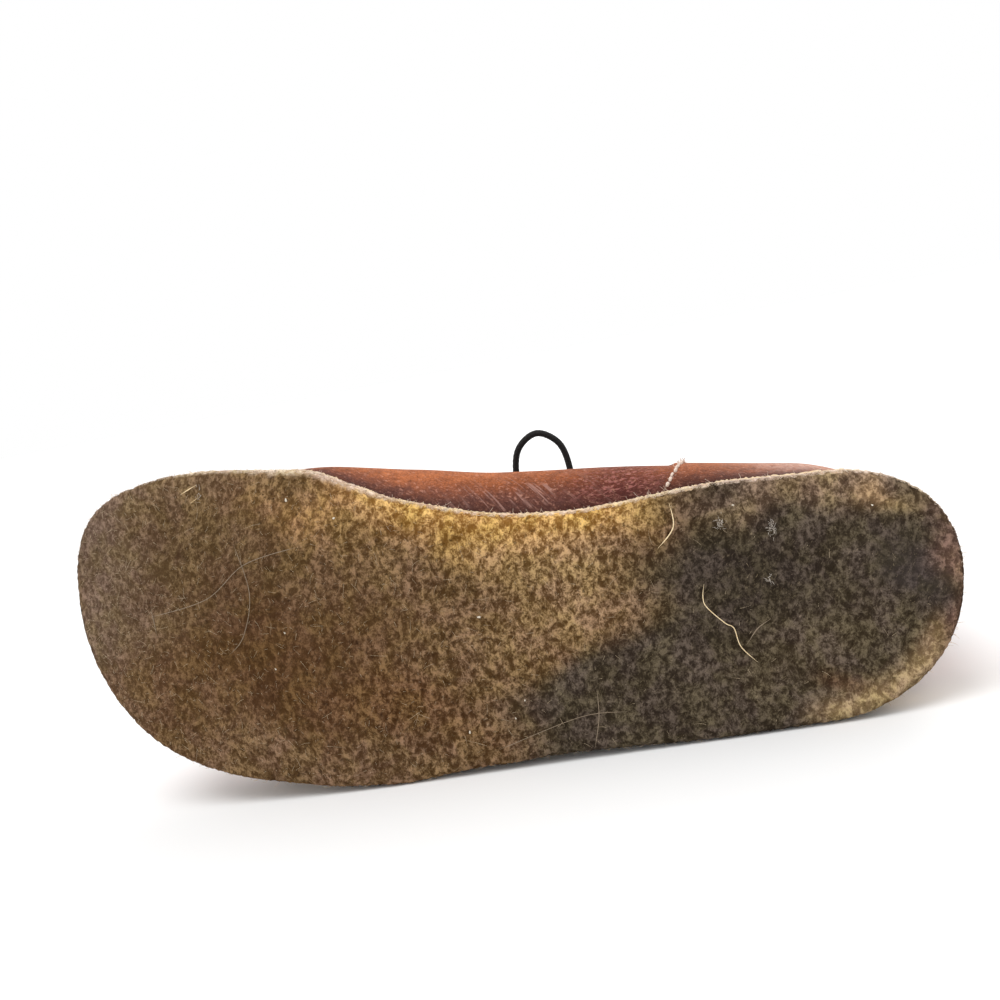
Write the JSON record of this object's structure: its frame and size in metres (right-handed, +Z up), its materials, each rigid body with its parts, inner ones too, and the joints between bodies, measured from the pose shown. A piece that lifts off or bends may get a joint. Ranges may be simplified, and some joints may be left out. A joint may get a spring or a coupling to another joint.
{
  "type": "chukka boot",
  "caption": "Ankle-high lace-up chukka boot for the right foot, with a hollow leather upper, an open collar and a flat crepe wedge sole, lying on its outer side.",
  "frame": {"origin": "bottom centre of the bounding box of the boot without its loose lace, as it lies on the floor", "axes": "+X from the toe to the heel, +Y from the tread to the collar, +Z up from the floor to the inner (medial) side"},
  "size_m": [0.2982, 0.1547, 0.1159],
  "materials": {
    "crepe_tread": "worn crepe rubber, matte and crumbed",
    "crepe_edge": "pale smooth crepe",
    "brown_leather": "oiled brown leather, satin",
    "tongue_leather": "oiled brown leather, satin",
    "insole_leather": "undyed leather, matte",
    "black_lace": "woven cotton",
    "lace_tip": "clear-coated black"
  },
  "bodies": {
    "root": {"outsole": "crepe_tread", "midsole": "crepe_edge", "insole": "insole_leather", "upper": "brown_leather", "tongue": "tongue_leather", "lace_bar": "black_lace", "lace_cross": "black_lace", "lace_knot": "black_lace", "lace_loop_medial": "black_lace", "lace_loop_lateral": "black_lace", "lace_end_toeward": "black_lace", "lace_end_heelward": "black_lace", "lace_tip_toeward": "lace_tip", "lace_tip_heelward": "lace_tip"}
  },
  "joints": []
}
